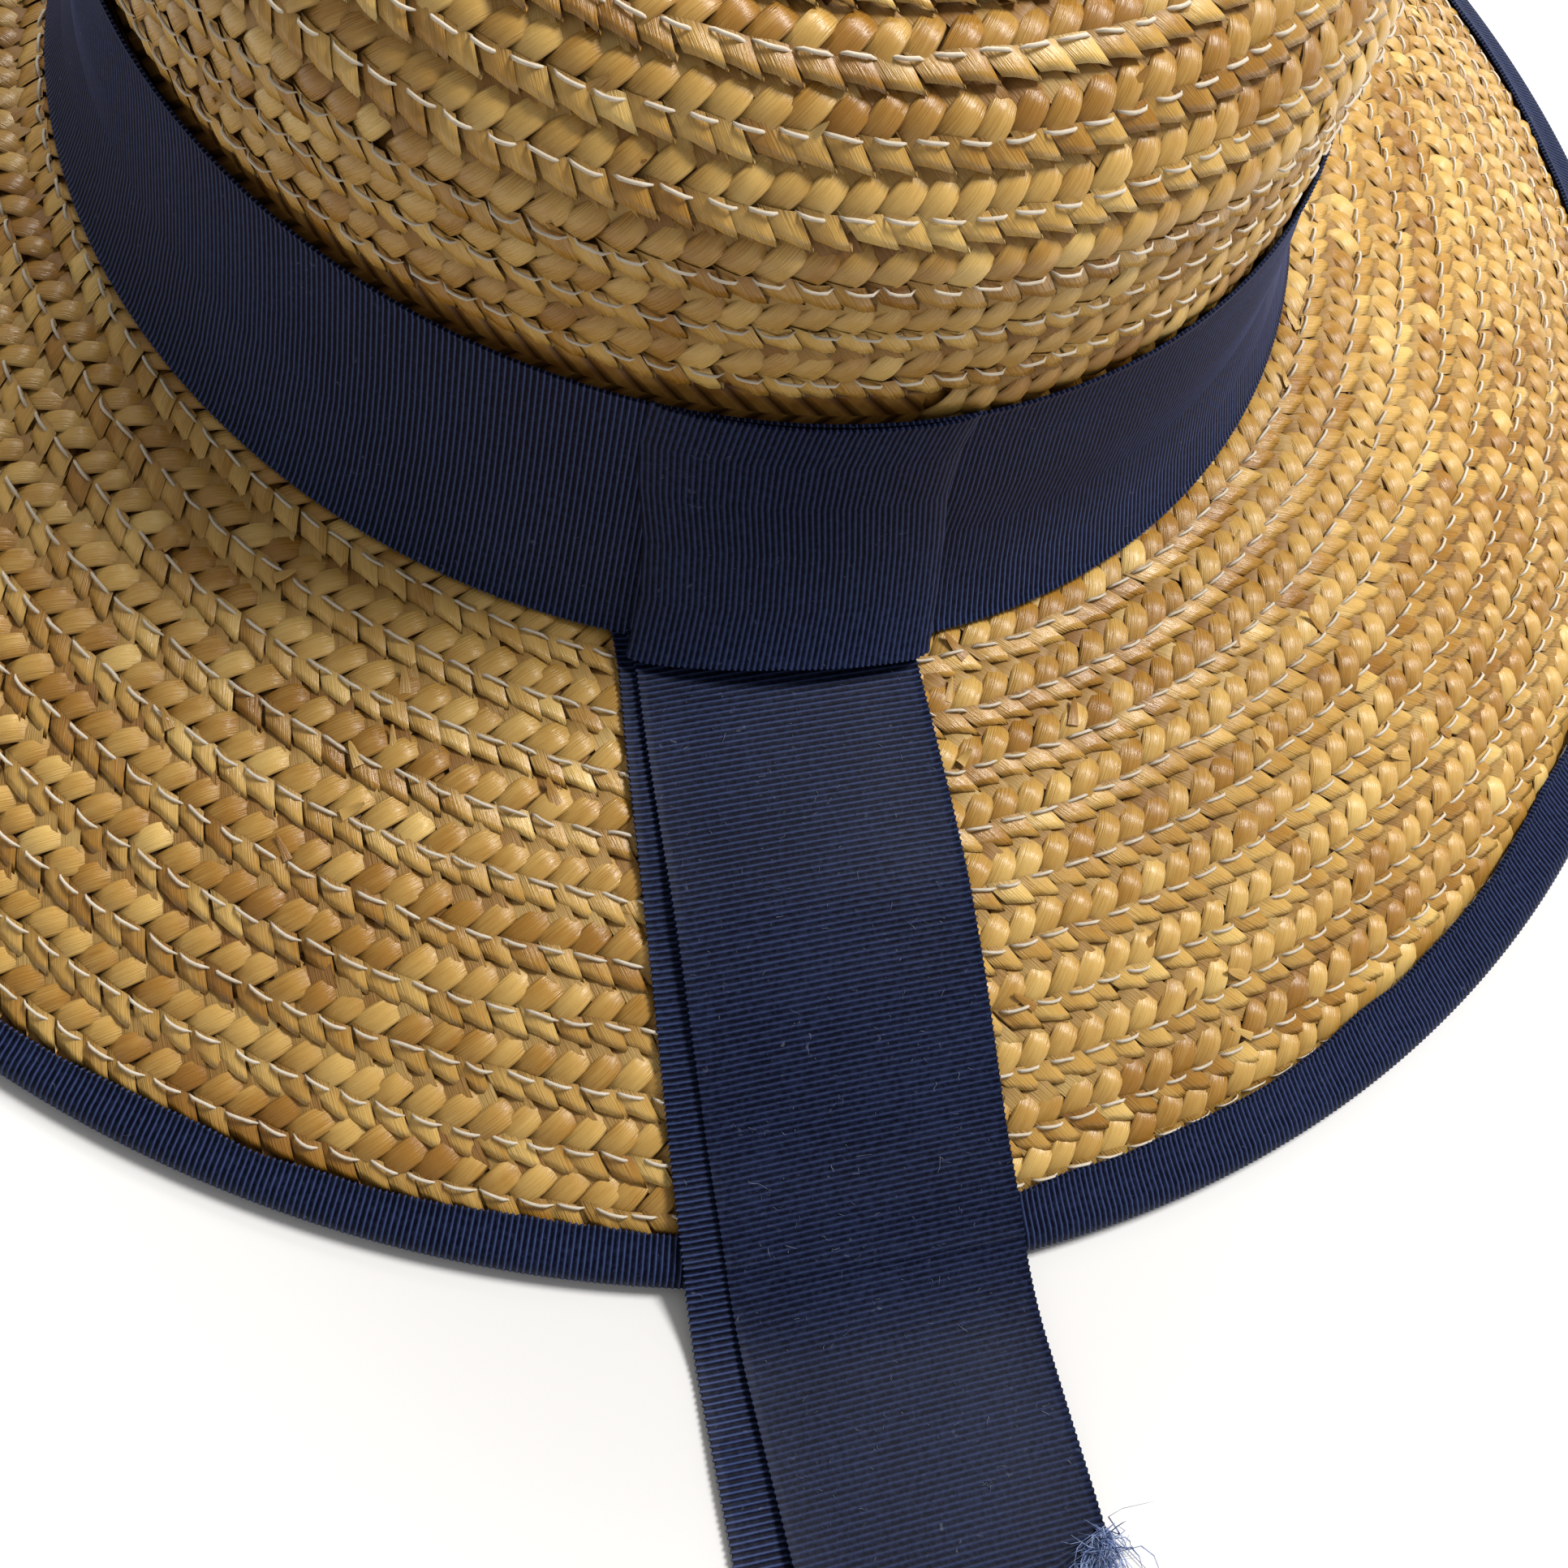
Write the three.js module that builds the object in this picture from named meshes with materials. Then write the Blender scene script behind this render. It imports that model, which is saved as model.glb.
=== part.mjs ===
// Straw boater: a crown and a sloping brim sewn from lapped rows of plaited straw, a ribbed ribbon
// band with a flat cover over its join, two ribbon tails, and a ribbon folded over the brim's edge.
// Millimetres, +Z up. The hat lies on its rim at z = 0, and the tails leave it towards -Y.
import * as THREE from "three";

// Head part, measured on the straw at the top of the band
const HEAD_HALF_WIDTH = 84.5;
const HEAD_HALF_LENGTH = 94.5;
const FOOT_FLARE = 7;

// Brim
const BRIM_RUN = 74;
const BRIM_HEIGHT = 27.5;

// Straw plait: each row laps over the next one out and stands proud at its outer edge
const STRAW_WALL = 1.6;
const ROW_PROUD = 1;
const ROW_STEP = 7.9;
const TIP_HALF_WIDTH = 4;
const WALL_ROWS = 3;

// Ribbons
const RIBBON_WIDTH = 40;
const RIBBON_THICKNESS = 1;
const BINDING_WIDTH = 10;
const BINDING_REST = 3;
const COVER_WIDTH = 41;
const COVER_DROP = 4;
const FRONT_TAIL_LENGTH = 142;
const BACK_TAIL_LENGTH = 155;
const TAIL_SLANT = 40;
const BACK_TAIL_SHIFT = 2;

// Degrees: the knot's place round the oval from -Y, and the swing of each tail from straight out
const KNOT_PLACE = -9.3;
const FRONT_TAIL_TURN = 10.3;
const BACK_TAIL_TURN = 7.8;

// Tails beyond the rim
const TAIL_FALL = 13;
const TAIL_FLOOR_GAP = 0.1;
const TAIL_CLEARANCE = 0.9;

// Clearances
const GAP = 0.3;
const BODY_JOIN = 3;

// Facets
const AROUND = 48;
const TAIL_STEPS = 50;
const TAIL_COLUMNS = 4;

// How the wall flares out to the brim over the height of the band, in shares
const FOOT_FORM = [
  { up: 0, out: 1 },
  { up: 0.12, out: 0.66 },
  { up: 0.3, out: 0.34 },
  { up: 0.55, out: 0.1 },
  { up: 1, out: 0 },
];

// How the brim falls from the foot of the band to the rim, in shares of its run and height
const BRIM_FORM = [
  { run: 0, drop: 0 },
  { run: 0.15, drop: 0.064 },
  { run: 0.3, drop: 0.141 },
  { run: 0.45, drop: 0.254 },
  { run: 0.6, drop: 0.414 },
  { run: 0.73, drop: 0.6 },
  { run: 0.86, drop: 0.806 },
  { run: 1, drop: 1 },
];

// Lean of each row above the upright ones, in degrees from upright, then the flat tip
const SHOULDER_ROWS = [{ lean: 32 }, { lean: 35 }, { lean: 61 }, { lean: 80 }];
const TIP_LEAN = 88;

const radians = THREE.MathUtils.degToRad;

// The value of a table's column between its rows
function between(table, from, to, share) {
  const last = table.length - 1;
  const at = Math.min(Math.max(share, 0), 1);
  let i = 1;
  while (i < last && table[i][from] < at) i += 1;
  const [low, high] = [table[i - 1], table[i]];
  const part = (at - low[from]) / (high[from] - low[from]);
  return low[to] + (high[to] - low[to]) * part;
}

const BAND_RISE = Math.sqrt(RIBBON_WIDTH ** 2 - FOOT_FLARE ** 2);
const BAND_FOOT = BRIM_HEIGHT + STRAW_WALL + ROW_PROUD;
const BAND_TOP = BAND_FOOT + BAND_RISE;

// Outward offset of the straw's proud surface from the head oval at a height on the band
function footOut(height) {
  return FOOT_FLARE * between(FOOT_FORM, "up", "out", (height - BAND_FOOT) / BAND_RISE);
}

// Height of the proud surface of the brim at a share of its run
function brimTop(share) {
  const foot = BAND_FOOT;
  const rim = RIBBON_THICKNESS + GAP + STRAW_WALL;
  return foot - (foot - rim) * between(BRIM_FORM, "run", "drop", share);
}

// A closed ring: a loop of { out, z } points carried round the head oval
function ovalRing(loop) {
  const positions = [];
  const indices = [];
  for (let j = 0; j < AROUND; j += 1) {
    const turn = (2 * Math.PI * j) / AROUND;
    for (const { out, z } of loop) {
      const x = (HEAD_HALF_WIDTH + out) * Math.sin(turn);
      const y = -(HEAD_HALF_LENGTH + out) * Math.cos(turn);
      positions.push(x, y, z);
    }
  }
  const count = loop.length;
  for (let j = 0; j < AROUND; j += 1) {
    const next = (j + 1) % AROUND;
    for (let i = 0; i < count; i += 1) {
      const after = (i + 1) % count;
      const a = j * count + i;
      const b = next * count + i;
      const c = next * count + after;
      const d = j * count + after;
      indices.push(a, b, c, a, c, d);
    }
  }
  return { positions, indices, count };
}

function geometryOf(positions, indices) {
  const geometry = new THREE.BufferGeometry();
  geometry.setAttribute("position", new THREE.Float32BufferAttribute(positions, 3));
  geometry.setIndex(indices);
  geometry.computeVertexNormals();
  return geometry;
}

// A shell open at its foot: the outer points from foot to tip, the inner ones from tip to foot
function ovalShell(outer, inner) {
  const loop = [...outer, ...inner];
  const ring = ovalRing(loop);
  const indices = [];
  const { count } = ring;
  const tip = outer.length - 1;
  for (let k = 0; k < ring.indices.length; k += 6) {
    const first = ring.indices[k] % count;
    if (first !== tip) indices.push(...ring.indices.slice(k, k + 6));
  }
  for (const [row, flip] of [[tip, false], [tip + 1, true]]) {
    for (let j = 1; j < AROUND - 1; j += 1) {
      const a = row;
      const b = j * count + row;
      const c = (j + 1) * count + row;
      if (flip) indices.push(a, c, b);
      else indices.push(a, b, c);
    }
  }
  return geometryOf(ring.positions, indices);
}

// Crown: a smooth foot under the band, then the lapped rows to the tip
function crownGeometry() {
  const outer = [];
  const inner = [];
  const foot = BAND_FOOT + BODY_JOIN;
  const start = BAND_TOP - GAP;
  for (const { up } of FOOT_FORM) {
    const z = Math.max(BAND_FOOT + up * BAND_RISE, foot);
    if (outer.length && z <= outer[outer.length - 1].z) continue;
    const height = Math.min(z, start);
    const out = footOut(height);
    outer.push({ out, z: height });
    inner.push({ out: out - STRAW_WALL - ROW_PROUD, z: height });
  }
  let out = -ROW_PROUD;
  let z = start;
  const leans = [];
  for (let k = 0; k < WALL_ROWS; k += 1) leans.push(0);
  for (const { lean } of SHOULDER_ROWS) leans.push(lean);
  let reach = HEAD_HALF_WIDTH - ROW_PROUD;
  for (const lean of leans) reach -= ROW_STEP * Math.sin(radians(lean));
  const tipStep = ROW_STEP * Math.sin(radians(TIP_LEAN));
  const tipRows = Math.max(Math.floor((reach - TIP_HALF_WIDTH) / tipStep), 1);
  for (let k = 0; k < tipRows; k += 1) leans.push(TIP_LEAN);
  leans.forEach((lean, k) => {
    const angle = radians(lean);
    const normalOut = Math.cos(angle);
    const normalUp = Math.sin(angle);
    if (k > 0) {
      outer.push({ out, z });
      outer.push({ out: out + ROW_PROUD * normalOut, z: z + ROW_PROUD * normalUp });
    }
    out -= ROW_STEP * Math.sin(angle);
    z += ROW_STEP * Math.cos(angle);
    const next = radians(leans[Math.min(k + 1, leans.length - 1)]);
    const mean = (angle + next) / 2;
    const withinTip = k >= leans.length - tipRows && k < leans.length - 1;
    if (withinTip) return;
    inner.push({
      out: out - STRAW_WALL * Math.cos(mean),
      z: z - STRAW_WALL * Math.sin(mean),
    });
  });
  outer.push({ out, z });
  return ovalShell(outer, inner.reverse());
}

// Brim: a lip under the band, the lapped rows, and a plain edge inside the binding
function brimGeometry() {
  const top = [];
  const under = [];
  const wall = STRAW_WALL + ROW_PROUD;
  const lipTop = BAND_FOOT + BODY_JOIN - GAP;
  const lipOut = footOut(lipTop);
  top.push({ out: lipOut, z: lipTop });
  under.push({ out: lipOut - wall, z: lipTop });
  const slope = Math.hypot(BRIM_RUN, BRIM_HEIGHT);
  const visible = BRIM_RUN - BINDING_WIDTH;
  const rows = Math.max(Math.round((slope * visible) / BRIM_RUN / ROW_STEP), 1);
  const rowRun = visible / rows;
  under.push({ out: FOOT_FLARE, z: brimTop(0) - wall });
  for (let k = 0; k < rows; k += 1) {
    const near = (k * rowRun) / BRIM_RUN;
    const far = ((k + 1) * rowRun) / BRIM_RUN;
    const sunk = k === 0 ? 0 : ROW_PROUD;
    top.push({ out: FOOT_FLARE + near * BRIM_RUN, z: brimTop(near) - sunk });
    top.push({ out: FOOT_FLARE + far * BRIM_RUN, z: brimTop(far) });
    under.push({ out: FOOT_FLARE + far * BRIM_RUN, z: brimTop(far) - wall });
  }
  top.push({ out: FOOT_FLARE + visible, z: brimTop(visible / BRIM_RUN) - ROW_PROUD });
  const edge = FOOT_FLARE + BRIM_RUN;
  const floor = RIBBON_THICKNESS + GAP;
  top.push({ out: edge, z: floor + STRAW_WALL });
  under.push({ out: edge, z: floor });
  const ring = ovalRing([...top, ...under.reverse()].reverse());
  return geometryOf(ring.positions, ring.indices);
}

// Band: the ribbon lies on the foot of the crown and follows its flare
function bandGeometry() {
  const inside = FOOT_FORM.map(({ up, out }) => ({
    out: FOOT_FLARE * out + GAP,
    z: BAND_FOOT + up * BAND_RISE + GAP,
  }));
  const outside = inside.map(({ out, z }) => ({ out: out + RIBBON_THICKNESS, z }));
  const ring = ovalRing([...outside, ...inside.reverse()]);
  return geometryOf(ring.positions, ring.indices);
}

// Binding: a ribbon folded over the plain edge of the brim, flat below where it rests
function bindingGeometry() {
  const edge = FOOT_FLARE + BRIM_RUN;
  const start = edge - BINDING_WIDTH + GAP;
  const lift = ROW_PROUD - GAP;
  const share = (out) => (out - FOOT_FLARE) / BRIM_RUN;
  const underStraw = (out) => brimTop(share(out)) - STRAW_WALL - ROW_PROUD;
  const topLow = { out: start, z: brimTop(share(start)) - lift };
  const topMid = { out: edge, z: RIBBON_THICKNESS + STRAW_WALL + 2 * GAP };
  const fold = { out: edge + GAP, z: topMid.z };
  const foldLow = { out: edge + GAP, z: RIBBON_THICKNESS };
  const restEnd = { out: edge + GAP - BINDING_REST, z: RIBBON_THICKNESS };
  const underEnd = { out: start, z: underStraw(start) - GAP };
  const under = restEnd.z < underEnd.z ? [restEnd, underEnd] : [restEnd];
  const t = RIBBON_THICKNESS;
  const loop = [
    { out: topLow.out, z: topLow.z + t },
    { out: topMid.out, z: topMid.z + t },
    { out: fold.out + t, z: fold.z },
    { out: foldLow.out + t, z: foldLow.z - t / 2 },
    { out: foldLow.out, z: foldLow.z - t },
    { out: restEnd.out, z: restEnd.z - t },
    ...(under.length > 1 ? [{ out: underEnd.out, z: underEnd.z - t }] : []),
    ...under.slice().reverse(),
    foldLow,
    fold,
    topMid,
    topLow,
  ];
  const ring = ovalRing(loop.reverse());
  return geometryOf(ring.positions, ring.indices);
}

// A plate of ribbon: a grid of lower points, and the same grid one thickness further out
function plateGeometry(columns, rows, pointAt) {
  const positions = [];
  const indices = [];
  const width = columns + 1;
  const side = width * (rows + 1);
  for (const layer of [0, 1]) {
    for (let i = 0; i <= rows; i += 1) {
      for (let c = 0; c <= columns; c += 1) {
        positions.push(...pointAt(i / rows, c / columns, layer * RIBBON_THICKNESS));
      }
    }
  }
  const quad = (a, b, c, d) => indices.push(a, b, c, a, c, d);
  for (let i = 0; i < rows; i += 1) {
    for (let c = 0; c < columns; c += 1) {
      const a = i * width + c;
      quad(a, a + 1, a + 1 + width, a + width);
      quad(side + a, side + a + width, side + a + 1 + width, side + a + 1);
    }
  }
  for (let i = 0; i < rows; i += 1) {
    const left = i * width;
    const right = left + columns;
    quad(left, left + width, side + left + width, side + left);
    quad(right, side + right, side + right + width, right + width);
  }
  for (let c = 0; c < columns; c += 1) {
    const far = rows * width + c;
    quad(c, side + c, side + c + 1, c + 1);
    quad(far, far + 1, side + far + 1, side + far);
  }
  return geometryOf(positions, indices);
}

// The share of the brim's run at a point seen from above: 0 at the foot of the band, 1 at the edge
function brimShare(x, y) {
  let low = -FOOT_FLARE;
  let high = 4 * BRIM_RUN + FRONT_TAIL_LENGTH + BACK_TAIL_LENGTH;
  for (let k = 0; k < 40; k += 1) {
    const out = (low + high) / 2;
    const reach = (x / (HEAD_HALF_WIDTH + out)) ** 2 + (y / (HEAD_HALF_LENGTH + out)) ** 2;
    if (reach > 1) low = out;
    else high = out;
  }
  return (low - FOOT_FLARE) / BRIM_RUN;
}

// Height of what a ribbon lies on: the brim, then a curve from the rim down to the floor
function restHeight(x, y) {
  const share = brimShare(x, y);
  const bound = 1 - BINDING_WIDTH / BRIM_RUN;
  const ribbon = RIBBON_THICKNESS * THREE.MathUtils.clamp((share - bound) / (1 - bound), 0, 1);
  if (share <= 1) return brimTop(share) + ribbon + TAIL_CLEARANCE;
  const drop = brimTop(1) + ribbon + TAIL_CLEARANCE - TAIL_FLOOR_GAP;
  const rimSlope = (brimTop(bound) - brimTop(1)) / BINDING_WIDTH;
  const lead = Math.min(rimSlope * TAIL_FALL, 2 * drop);
  const t = Math.min(((share - 1) * BRIM_RUN) / TAIL_FALL, 1);
  const fallen = 3 * t ** 2 - 2 * t ** 3;
  return TAIL_FLOOR_GAP + drop * (1 - fallen) - lead * t * (1 - t) ** 2;
}

// The knot's place on the oval, the way along the band there, and the way straight out
function knotFrame(out) {
  const turn = radians(KNOT_PLACE);
  const a = HEAD_HALF_WIDTH + out;
  const b = HEAD_HALF_LENGTH + out;
  const place = new THREE.Vector2(a * Math.sin(turn), -b * Math.cos(turn));
  const along = new THREE.Vector2(a * Math.cos(turn), b * Math.sin(turn));
  return { turn, place, speed: along.length(), along: along.normalize() };
}

// A tail: its root follows the band, and it lies straight over the brim and out on the floor
function tailGeometry({ length, slant, shift, turn, lift }) {
  const knot = knotFrame(FOOT_FLARE + RIBBON_THICKNESS + TAIL_CLEARANCE + lift);
  const origin = new THREE.Vector2();
  const across = knot.along.clone().rotateAround(origin, radians(turn));
  const away = new THREE.Vector2(across.y, -across.x);
  const start = knot.place.clone().addScaledVector(knot.along, -shift);
  const placeOf = (column, reach) =>
    start
      .clone()
      .addScaledVector(across, (column - 0.5) * RIBBON_WIDTH)
      .addScaledVector(away, reach);
  const heightOf = (column, reach) => {
    const place = placeOf(column, reach);
    return restHeight(place.x, place.y) + lift;
  };
  const walks = [];
  for (let c = 0; c <= TAIL_COLUMNS; c += 1) {
    const column = c / TAIL_COLUMNS;
    const root = (column - 0.5) * RIBBON_WIDTH * Math.tan(radians(turn));
    const run = length + slant * (0.5 - column) - root;
    const walk = [root];
    const step = run / TAIL_STEPS;
    for (let i = 0; i < TAIL_STEPS; i += 1) {
      const reach = walk[i];
      const fall = heightOf(column, reach + step) - heightOf(column, reach);
      walk.push(reach + step / Math.hypot(1, fall / step));
    }
    walks.push(walk);
  }
  return plateGeometry(TAIL_COLUMNS, TAIL_STEPS, (along, column, raised) => {
    const walk = walks[Math.round(column * TAIL_COLUMNS)];
    const reach = walk[Math.round(along * TAIL_STEPS)];
    const place = placeOf(column, reach);
    return [place.x, place.y, heightOf(column, reach) + raised];
  });
}

const TAIL_LIFT = RIBBON_THICKNESS + 2 * GAP;
const TAIL_STACK = TAIL_CLEARANCE + TAIL_LIFT + RIBBON_THICKNESS;

// Cover: a flat piece of ribbon over the join of the band, holding the tails under its lower edge
function coverGeometry() {
  const columns = 8;
  const rows = 6;
  const seat = RIBBON_THICKNESS + 2 * GAP;
  const top = BAND_TOP + 2 * GAP;
  const low = brimTop((COVER_DROP + seat) / BRIM_RUN) + TAIL_STACK + GAP;
  const { turn, speed } = knotFrame(FOOT_FLARE + seat);
  return plateGeometry(columns, rows, (down, column, raised) => {
    const z = top + (low - top) * down;
    const form = between(FOOT_FORM, "up", "out", 1 - down);
    const out = (FOOT_FLARE + COVER_DROP) * form + seat + raised;
    const at = turn + ((column - 0.5) * COVER_WIDTH) / speed;
    return [(HEAD_HALF_WIDTH + out) * Math.sin(at), -(HEAD_HALF_LENGTH + out) * Math.cos(at), z];
  });
}

const straw = new THREE.MeshStandardMaterial({ color: 0xb98a4a, roughness: 0.42, metalness: 0 });
const navy = new THREE.MeshStandardMaterial({ color: 0x232c48, roughness: 0.62, metalness: 0 });

const hat = new THREE.Group();

function addPiece(name, geometry, material) {
  const piece = new THREE.Mesh(geometry, material.clone());
  piece.name = name;
  hat.add(piece);
}

addPiece("crown", crownGeometry(), straw);
addPiece("brim", brimGeometry(), straw);
addPiece("hat_band", bandGeometry(), navy);
addPiece("brim_binding", bindingGeometry(), navy);
addPiece("knot_cover", coverGeometry(), navy);
addPiece(
  "back_tail",
  tailGeometry({
    length: BACK_TAIL_LENGTH,
    slant: -TAIL_SLANT,
    shift: BACK_TAIL_SHIFT,
    turn: BACK_TAIL_TURN,
    lift: 0,
  }),
  navy,
);
addPiece(
  "front_tail",
  tailGeometry({
    length: FRONT_TAIL_LENGTH,
    slant: TAIL_SLANT,
    shift: 0,
    turn: FRONT_TAIL_TURN,
    lift: TAIL_LIFT,
  }),
  navy,
);

// The origin lies under the middle of the whole hat with its tails
const box = new THREE.Box3().setFromObject(hat, true);
hat.position.y = -(box.min.y + box.max.y) / 2;
hat.position.x = -(box.min.x + box.max.x) / 2;

export default hat;
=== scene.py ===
import math

import bpy
import numpy as np
from mathutils import Matrix, Vector


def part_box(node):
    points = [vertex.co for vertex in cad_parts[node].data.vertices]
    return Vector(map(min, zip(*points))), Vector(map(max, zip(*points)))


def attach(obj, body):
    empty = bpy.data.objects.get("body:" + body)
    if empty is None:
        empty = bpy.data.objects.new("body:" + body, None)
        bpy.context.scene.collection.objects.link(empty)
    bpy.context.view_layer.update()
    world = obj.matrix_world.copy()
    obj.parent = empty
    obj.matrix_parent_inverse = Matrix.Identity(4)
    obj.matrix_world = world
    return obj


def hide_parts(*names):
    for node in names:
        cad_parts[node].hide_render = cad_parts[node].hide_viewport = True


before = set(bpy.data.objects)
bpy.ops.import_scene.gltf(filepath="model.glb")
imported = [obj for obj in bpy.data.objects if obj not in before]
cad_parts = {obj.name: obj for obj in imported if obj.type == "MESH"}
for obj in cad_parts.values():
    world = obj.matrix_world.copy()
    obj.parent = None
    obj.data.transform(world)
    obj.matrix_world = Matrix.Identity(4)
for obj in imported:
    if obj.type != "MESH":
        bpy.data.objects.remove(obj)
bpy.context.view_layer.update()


# Camera, floor and light
# The hat lies on a plain pale table and is seen close from above its front left.
# Soft light comes from high on the right and a little from behind, so the left side is darker.

crown_low, crown_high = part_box("crown")
hat_middle = np.array([(crown_low.x + crown_high.x) / 2, (crown_low.y + crown_high.y) / 2, 0])

view_azimuth = math.radians(32.1)
view_elevation = math.radians(60.5)
view_roll = math.radians(19.65)
view_place = Vector((-0.0845, -0.2272, 0.2542)) + Vector(hat_middle)
frame_pixels = 1932
focal_pixels = 2558

forward = Vector((
    math.sin(view_azimuth) * math.cos(view_elevation),
    math.cos(view_azimuth) * math.cos(view_elevation),
    -math.sin(view_elevation),
))
level_right = Vector((math.cos(view_azimuth), -math.sin(view_azimuth), 0))
level_up = level_right.cross(forward)
right = level_right * math.cos(view_roll) + level_up * math.sin(view_roll)
up = level_up * math.cos(view_roll) - level_right * math.sin(view_roll)

bpy.ops.object.camera_add(location=view_place)
camera = bpy.context.object
camera.name = "photo_camera"
camera.rotation_euler = Matrix((right, up, -forward)).transposed().to_euler()
camera.data.sensor_width = 36
camera.data.lens = camera.data.sensor_width * focal_pixels / frame_pixels
camera.data.clip_start = 0.01
camera.data.clip_end = 20
bpy.context.scene.camera = camera

bpy.ops.mesh.primitive_plane_add(size=12, location=(0, 0, -0.0002))
floor = bpy.context.object
floor.name = "floor"
floor_finish = bpy.data.materials.new("floor_finish")
floor_finish.use_nodes = True
floor_shader = floor_finish.node_tree.nodes["Principled BSDF"]
floor_shader.inputs["Base Color"].default_value = (0.86, 0.86, 0.86, 1)
floor_shader.inputs["Roughness"].default_value = 0.9
floor.data.materials.append(floor_finish)

sky = bpy.data.worlds.new("studio")
sky.use_nodes = True
sky.node_tree.nodes["Background"].inputs["Color"].default_value = (1, 0.98, 0.95, 1)
sky.node_tree.nodes["Background"].inputs["Strength"].default_value = 0.32
bpy.context.scene.world = sky
bpy.context.scene.view_settings.view_transform = "Standard"
bpy.context.scene.view_settings.look = "None"


light_aim = Vector((0, 0.02, 0.05))


def add_softbox(name, place, size, watts, tint):
    """A rectangular lamp in metres and watts, turned towards the hat"""
    bpy.ops.object.light_add(type="AREA", location=place)
    softbox = bpy.context.object
    softbox.name = name
    softbox.data.shape = "RECTANGLE"
    softbox.data.size = size[0]
    softbox.data.size_y = size[1]
    softbox.data.energy = watts
    softbox.data.color = tint
    beam = light_aim - Vector(place)
    softbox.rotation_euler = beam.to_track_quat("-Z", "Y").to_euler()


add_softbox("window_light", (0.6, 0.02, 1.05), (0.4, 0.28), 15, (1, 0.98, 0.95))
add_softbox("back_light", (0.1, 1.0, 0.9), (0.5, 0.3), 10, (1, 0.97, 0.92))


# Form of the straw
# The hat is an oval head part with a flat tip and a brim that falls more steeply towards its rim.
# These curves are the CAD solids' own, so that every straw and ribbon lies on them.

MM = 0.001
HEAD_HALF_WIDTH = 84.5
HEAD_HALF_LENGTH = 94.5
FOOT_FLARE = 7
BRIM_RUN = 74
BAND_FOOT = 30.1
RIM_TOP = 2.9
RIBBON_WIDTH = 40
BAND_RISE = math.sqrt(RIBBON_WIDTH ** 2 - FOOT_FLARE ** 2)
BAND_TOP = BAND_FOOT + BAND_RISE
STRAW_LOW = 1
TIP_HALF_WIDTH = 4
TIP_HOLE = 0.3

foot_up = [0, 0.12, 0.3, 0.55, 1]
foot_out = [1, 0.66, 0.34, 0.1, 0]
brim_share = [0, 0.15, 0.3, 0.45, 0.6, 0.73, 0.86, 1]
brim_drop = [0, 0.064, 0.141, 0.254, 0.414, 0.6, 0.806, 1]

# Brim profile from the foot of the band outwards, smoothed and measured along the slope
fine_share = np.linspace(-0.06, 1.02, 1081)
brim_out = FOOT_FLARE + fine_share * BRIM_RUN
brim_height = BAND_FOOT - (BAND_FOOT - RIM_TOP) * np.interp(fine_share, brim_share, brim_drop)
half_window = 60
smooth_window = np.hanning(2 * half_window + 1)
smooth_window /= smooth_window.sum()
padded_height = np.pad(brim_height, half_window, mode="reflect", reflect_type="odd")
brim_height = np.convolve(padded_height, smooth_window, mode="valid")
brim_steps = np.hypot(np.diff(brim_out), np.diff(brim_height))
brim_path = np.concatenate([[0], np.cumsum(brim_steps)])
brim_path -= np.interp(FOOT_FLARE, brim_out, brim_path)
BRIM_SLOPE_LENGTH = float(np.interp(FOOT_FLARE + BRIM_RUN, brim_out, brim_path))

# Crown profile from the top of the band upwards and in to the middle of the tip
crown_bend = {
    "path": [0, 22, 26, 37, 41, 45, 50, 54, 60],
    "lean": [0, 0, 30, 35, 48, 61, 70, 80, 88],
}
crown_path = np.arange(-12, 119, 0.25)
crown_lean = np.radians(np.interp(crown_path, crown_bend["path"], crown_bend["lean"]))
crown_out = -np.concatenate([[0], np.cumsum(np.sin(crown_lean[:-1]) * np.diff(crown_path))])
crown_height = np.concatenate([[0], np.cumsum(np.cos(crown_lean[:-1]) * np.diff(crown_path))])
crown_out -= np.interp(0, crown_path, crown_out) + STRAW_LOW
crown_height += BAND_TOP - np.interp(0, crown_path, crown_height)
TIP_REACH = float(np.interp(TIP_HALF_WIDTH - HEAD_HALF_WIDTH, crown_out[::-1], crown_path[::-1]))


def on_oval(turn, out, height, lean_out, lean_up, lift):
    """Points in metres at a turn round the head, lifted along the surface's own outward direction"""
    a = HEAD_HALF_WIDTH + out
    b = HEAD_HALF_LENGTH + out
    side = np.sin(turn) / np.maximum(a, 1)
    front = -np.cos(turn) / np.maximum(b, 1)
    size = np.hypot(side, front)
    x = a * np.sin(turn) + lift * lean_out * side / size
    y = -b * np.cos(turn) + lift * lean_out * front / size
    z = height + lift * lean_up
    return np.stack([x, y, z], axis=-1) * MM + hat_middle


def binding_cover(turn):
    """How far in the binding reaches over the straw, seen from above; it was sewn unevenly"""
    return 5.4 + 1.5 * np.sin(turn) + 0.9 * np.sin(2 * turn)


def on_brim(turn, path, lift):
    """A point on the brim: path runs out from the foot of the band, flattened under the binding"""
    bound_from = BRIM_SLOPE_LENGTH - 1.2 * binding_cover(turn) - 0.4
    press_run = 1.2
    pressed = np.clip((path - bound_from) / press_run, 0, 1) * (lift > 0)
    lift = lift * (1 - 0.8 * pressed) - 0.4 * pressed
    out = np.interp(path, brim_path, brim_out)
    height = np.interp(path, brim_path, brim_height) - STRAW_LOW
    rise = np.interp(path + 1, brim_path, brim_height) - np.interp(path - 1, brim_path, brim_height)
    fall = -rise / 2
    return on_oval(turn, out, height, fall, np.sqrt(np.maximum(1 - fall ** 2, 0.01)), lift)


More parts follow.
